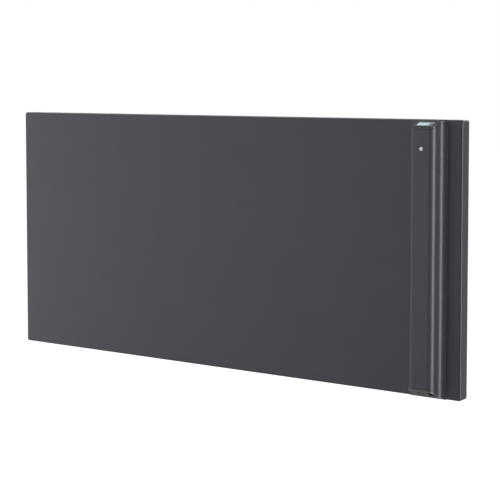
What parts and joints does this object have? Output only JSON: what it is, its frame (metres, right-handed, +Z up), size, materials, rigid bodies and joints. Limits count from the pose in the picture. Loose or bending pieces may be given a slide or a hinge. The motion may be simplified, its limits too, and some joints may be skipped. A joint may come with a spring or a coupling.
{
  "type": "panel heater",
  "caption": "Thin wall-hung convection panel heater with a steel front, a control column with a slanted display on its face, a rear casing and a latching wall bracket.",
  "frame": {"origin": "on the wall plane, at the centre of the bracket cross bar's rear face, level with the middle of the panel", "axes": "+X to the right seen from the front, +Y into the wall, +Z up; the heater faces -Y"},
  "size_m": [0.784, 0.0863, 0.37],
  "materials": {
    "panel_coat": "satin anthracite powder coat",
    "column_coat": "satin anthracite powder coat",
    "cap_plastic": "fine matt moulded plastic",
    "zinc_sheet": "galvanised sheet",
    "aluminium_sheet": "bright rolled sheet",
    "aluminium_cast": "extruded, dull",
    "steel": "plated",
    "ceramic": "unglazed ceramic",
    "rubber": "matt",
    "black_plastic": "fine matt",
    "grey_plastic": "fine matt",
    "pale_plastic": "satin",
    "circuit_board": "solder mask",
    "relay_case": "gloss",
    "button_plastic": "semi-gloss",
    "indicator_lens": "clear diffusing plastic",
    "display_glass": "clear acrylic over a dark border",
    "display_panel": "backlit display",
    "brown_insulation": "silicone sleeve",
    "blue_insulation": "silicone sleeve"
  },
  "bodies": {
    "heater": {"front_panel": "panel_coat", "rear_shell": "zinc_sheet", "heat_shield": "aluminium_sheet", "rear_screw_1": "steel", "rear_screw_2": "steel", "rear_screw_3": "steel", "rear_screw_4": "steel", "element_fins": "aluminium_cast", "element_core": "steel", "element_bush_left": "ceramic", "element_bush_right": "ceramic", "element_bracket_left": "zinc_sheet", "element_bracket_right": "zinc_sheet", "bracket_rail_left": "zinc_sheet", "bracket_rail_right": "zinc_sheet", "bracket_cross_bar": "zinc_sheet", "bracket_rivet_left": "steel", "bracket_rivet_right": "steel", "latch_pivot_left": "steel", "latch_pivot_right": "steel", "buffer_left": "rubber", "buffer_right": "rubber", "overheat_cutout": "black_plastic", "cutout_bracket": "zinc_sheet", "terminal_block": "pale_plastic", "cable_gland": "black_plastic", "gland_nut": "black_plastic", "gland_locknut": "black_plastic", "wire_grommet": "rubber", "column_cover": "column_coat", "column_top_cap": "column_coat", "column_bottom_cap": "cap_plastic", "electronics_carrier": "black_plastic", "carrier_screw_upper": "steel", "carrier_screw_lower": "steel", "power_board": "circuit_board", "relay": "relay_case", "power_module": "black_plastic", "capacitor": "black_plastic", "board_connector": "pale_plastic", "indicator_lens": "indicator_lens", "indicator_led": "pale_plastic", "display_window": "display_glass", "display_module": "display_panel", "display_board": "circuit_board", "mains_switch_body": "black_plastic", "room_sensor": "black_plastic", "wire_live": "brown_insulation", "wire_switched_live": "brown_insulation", "wire_neutral": "blue_insulation", "wire_element_feed": "brown_insulation", "wire_cutout_link": "brown_insulation", "wire_element_return": "blue_insulation", "display_ribbon": "pale_plastic"},
    "button_minus": {"button_minus": "button_plastic"},
    "button_menu": {"button_menu": "button_plastic"},
    "button_plus": {"button_plus": "button_plastic"},
    "mains_rocker": {"mains_rocker": "black_plastic"},
    "latch_left": {"latch_left": "grey_plastic"},
    "latch_right": {"latch_right": "grey_plastic"}
  },
  "joints": [
    {"name": "button_minus_press", "type": "slide", "parent": "heater", "child": "button_minus", "axis": [0, 0.3714, -0.9285], "range_m": [0, 0.0005], "stiffness_N_per_m": 150},
    {"name": "button_menu_press", "type": "slide", "parent": "heater", "child": "button_menu", "axis": [0, 0.3714, -0.9285], "range_m": [0, 0.0005], "stiffness_N_per_m": 150},
    {"name": "button_plus_press", "type": "slide", "parent": "heater", "child": "button_plus", "axis": [0, 0.3714, -0.9285], "range_m": [0, 0.0005], "stiffness_N_per_m": 150},
    {"name": "mains_rocker_tilt", "type": "hinge", "parent": "heater", "child": "mains_rocker", "pos_m": [0.3563, -0.07413, -0.17417], "axis": [-1, 0, 0], "range_deg": [0, 13]},
    {"name": "latch_left_turn", "type": "hinge", "parent": "heater", "child": "latch_left", "pos_m": [-0.18, -0.0174, 0.175], "axis": [0, -1, 0], "range_deg": [0, 90]},
    {"name": "latch_right_turn", "type": "hinge", "parent": "heater", "child": "latch_right", "pos_m": [0.18, -0.0174, 0.175], "axis": [0, -1, 0], "range_deg": [0, 90]}
  ]
}
